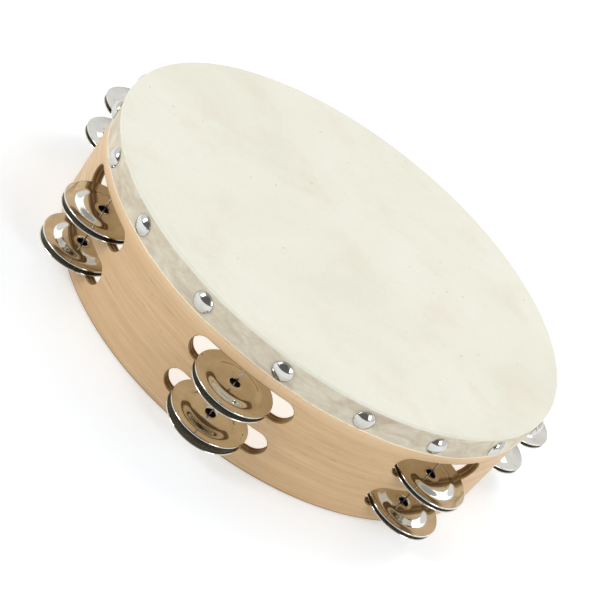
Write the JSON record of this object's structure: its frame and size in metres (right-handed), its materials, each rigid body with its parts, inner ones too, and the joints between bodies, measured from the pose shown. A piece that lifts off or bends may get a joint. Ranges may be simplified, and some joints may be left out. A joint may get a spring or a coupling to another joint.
{
  "type": "tambourine",
  "caption": "Round wooden tambourine with a tacked skin head and loose metal jingle pairs on pins in slots through its rim.",
  "frame": {"origin": "centre of the skin head's playing face", "axes": "+Z out of the playing face, so the open rim is the lowest edge; -Y towards the middle jingle station, +Y towards the wide gap between jingles where the hand holds the rim"},
  "size_m": [0.2852, 0.2752, 0.0614],
  "materials": {
    "wood": "clear satin lacquer on light plywood",
    "skin": "matte, off-white translucent hide",
    "tack": "polished plate",
    "pin": "bright drawn wire, slightly dulled",
    "jingle": "polished nickel plate on pressed steel sheet"
  },
  "bodies": {
    "frame": {"shell": "wood", "skin_head": "skin", "tack_01": "tack", "tack_02": "tack", "tack_03": "tack", "tack_04": "tack", "tack_05": "tack", "tack_06": "tack", "tack_07": "tack", "tack_08": "tack", "tack_09": "tack", "tack_10": "tack", "tack_11": "tack", "tack_12": "tack", "tack_13": "tack", "tack_14": "tack", "tack_15": "tack", "tack_16": "tack", "tack_17": "tack", "tack_18": "tack", "tack_19": "tack", "pin_1": "pin", "pin_2": "pin", "pin_3": "pin", "pin_4": "pin", "pin_5": "pin", "pin_6": "pin", "pin_7": "pin"},
    "jingle_1_upper_bottom": {"jingle_1_upper_bottom": "jingle"},
    "jingle_1_upper_top": {"jingle_1_upper_top": "jingle"},
    "jingle_1_lower_bottom": {"jingle_1_lower_bottom": "jingle"},
    "jingle_1_lower_top": {"jingle_1_lower_top": "jingle"},
    "jingle_2_upper_bottom": {"jingle_2_upper_bottom": "jingle"},
    "jingle_2_upper_top": {"jingle_2_upper_top": "jingle"},
    "jingle_2_lower_bottom": {"jingle_2_lower_bottom": "jingle"},
    "jingle_2_lower_top": {"jingle_2_lower_top": "jingle"},
    "jingle_3_upper_bottom": {"jingle_3_upper_bottom": "jingle"},
    "jingle_3_upper_top": {"jingle_3_upper_top": "jingle"},
    "jingle_3_lower_bottom": {"jingle_3_lower_bottom": "jingle"},
    "jingle_3_lower_top": {"jingle_3_lower_top": "jingle"},
    "jingle_4_upper_bottom": {"jingle_4_upper_bottom": "jingle"},
    "jingle_4_upper_top": {"jingle_4_upper_top": "jingle"},
    "jingle_4_lower_bottom": {"jingle_4_lower_bottom": "jingle"},
    "jingle_4_lower_top": {"jingle_4_lower_top": "jingle"},
    "jingle_5_upper_bottom": {"jingle_5_upper_bottom": "jingle"},
    "jingle_5_upper_top": {"jingle_5_upper_top": "jingle"},
    "jingle_5_lower_bottom": {"jingle_5_lower_bottom": "jingle"},
    "jingle_5_lower_top": {"jingle_5_lower_top": "jingle"},
    "jingle_6_upper_bottom": {"jingle_6_upper_bottom": "jingle"},
    "jingle_6_upper_top": {"jingle_6_upper_top": "jingle"},
    "jingle_6_lower_bottom": {"jingle_6_lower_bottom": "jingle"},
    "jingle_6_lower_top": {"jingle_6_lower_top": "jingle"},
    "jingle_7_upper_bottom": {"jingle_7_upper_bottom": "jingle"},
    "jingle_7_upper_top": {"jingle_7_upper_top": "jingle"},
    "jingle_7_lower_bottom": {"jingle_7_lower_bottom": "jingle"},
    "jingle_7_lower_top": {"jingle_7_lower_top": "jingle"}
  },
  "joints": [
    {"name": "jingle_1_upper_bottom_slide", "type": "slide", "parent": "frame", "child": "jingle_1_upper_bottom", "axis": [0, 0, 1], "range_m": [0, 0.0025]},
    {"name": "jingle_1_upper_top_slide", "type": "slide", "parent": "jingle_1_upper_bottom", "child": "jingle_1_upper_top", "axis": [0, 0, 1], "range_m": [0, 0.0025]},
    {"name": "jingle_1_lower_bottom_slide", "type": "slide", "parent": "frame", "child": "jingle_1_lower_bottom", "axis": [0, 0, 1], "range_m": [0, 0.0025]},
    {"name": "jingle_1_lower_top_slide", "type": "slide", "parent": "jingle_1_lower_bottom", "child": "jingle_1_lower_top", "axis": [0, 0, 1], "range_m": [0, 0.0025]},
    {"name": "jingle_2_upper_bottom_slide", "type": "slide", "parent": "frame", "child": "jingle_2_upper_bottom", "axis": [0, 0, 1], "range_m": [0, 0.0025]},
    {"name": "jingle_2_upper_top_slide", "type": "slide", "parent": "jingle_2_upper_bottom", "child": "jingle_2_upper_top", "axis": [0, 0, 1], "range_m": [0, 0.0025]},
    {"name": "jingle_2_lower_bottom_slide", "type": "slide", "parent": "frame", "child": "jingle_2_lower_bottom", "axis": [0, 0, 1], "range_m": [0, 0.0025]},
    {"name": "jingle_2_lower_top_slide", "type": "slide", "parent": "jingle_2_lower_bottom", "child": "jingle_2_lower_top", "axis": [0, 0, 1], "range_m": [0, 0.0025]},
    {"name": "jingle_3_upper_bottom_slide", "type": "slide", "parent": "frame", "child": "jingle_3_upper_bottom", "axis": [0, 0, 1], "range_m": [0, 0.0025]},
    {"name": "jingle_3_upper_top_slide", "type": "slide", "parent": "jingle_3_upper_bottom", "child": "jingle_3_upper_top", "axis": [0, 0, 1], "range_m": [0, 0.0025]},
    {"name": "jingle_3_lower_bottom_slide", "type": "slide", "parent": "frame", "child": "jingle_3_lower_bottom", "axis": [0, 0, 1], "range_m": [0, 0.0025]},
    {"name": "jingle_3_lower_top_slide", "type": "slide", "parent": "jingle_3_lower_bottom", "child": "jingle_3_lower_top", "axis": [0, 0, 1], "range_m": [0, 0.0025]},
    {"name": "jingle_4_upper_bottom_slide", "type": "slide", "parent": "frame", "child": "jingle_4_upper_bottom", "axis": [0, 0, 1], "range_m": [0, 0.0025]},
    {"name": "jingle_4_upper_top_slide", "type": "slide", "parent": "jingle_4_upper_bottom", "child": "jingle_4_upper_top", "axis": [0, 0, 1], "range_m": [0, 0.0025]},
    {"name": "jingle_4_lower_bottom_slide", "type": "slide", "parent": "frame", "child": "jingle_4_lower_bottom", "axis": [0, 0, 1], "range_m": [0, 0.0025]},
    {"name": "jingle_4_lower_top_slide", "type": "slide", "parent": "jingle_4_lower_bottom", "child": "jingle_4_lower_top", "axis": [0, 0, 1], "range_m": [0, 0.0025]},
    {"name": "jingle_5_upper_bottom_slide", "type": "slide", "parent": "frame", "child": "jingle_5_upper_bottom", "axis": [0, 0, 1], "range_m": [0, 0.0025]},
    {"name": "jingle_5_upper_top_slide", "type": "slide", "parent": "jingle_5_upper_bottom", "child": "jingle_5_upper_top", "axis": [0, 0, 1], "range_m": [0, 0.0025]},
    {"name": "jingle_5_lower_bottom_slide", "type": "slide", "parent": "frame", "child": "jingle_5_lower_bottom", "axis": [0, 0, 1], "range_m": [0, 0.0025]},
    {"name": "jingle_5_lower_top_slide", "type": "slide", "parent": "jingle_5_lower_bottom", "child": "jingle_5_lower_top", "axis": [0, 0, 1], "range_m": [0, 0.0025]},
    {"name": "jingle_6_upper_bottom_slide", "type": "slide", "parent": "frame", "child": "jingle_6_upper_bottom", "axis": [0, 0, 1], "range_m": [0, 0.0025]},
    {"name": "jingle_6_upper_top_slide", "type": "slide", "parent": "jingle_6_upper_bottom", "child": "jingle_6_upper_top", "axis": [0, 0, 1], "range_m": [0, 0.0025]},
    {"name": "jingle_6_lower_bottom_slide", "type": "slide", "parent": "frame", "child": "jingle_6_lower_bottom", "axis": [0, 0, 1], "range_m": [0, 0.0025]},
    {"name": "jingle_6_lower_top_slide", "type": "slide", "parent": "jingle_6_lower_bottom", "child": "jingle_6_lower_top", "axis": [0, 0, 1], "range_m": [0, 0.0025]},
    {"name": "jingle_7_upper_bottom_slide", "type": "slide", "parent": "frame", "child": "jingle_7_upper_bottom", "axis": [0, 0, 1], "range_m": [0, 0.0025]},
    {"name": "jingle_7_upper_top_slide", "type": "slide", "parent": "jingle_7_upper_bottom", "child": "jingle_7_upper_top", "axis": [0, 0, 1], "range_m": [0, 0.0025]},
    {"name": "jingle_7_lower_bottom_slide", "type": "slide", "parent": "frame", "child": "jingle_7_lower_bottom", "axis": [0, 0, 1], "range_m": [0, 0.0025]},
    {"name": "jingle_7_lower_top_slide", "type": "slide", "parent": "jingle_7_lower_bottom", "child": "jingle_7_lower_top", "axis": [0, 0, 1], "range_m": [0, 0.0025]}
  ]
}
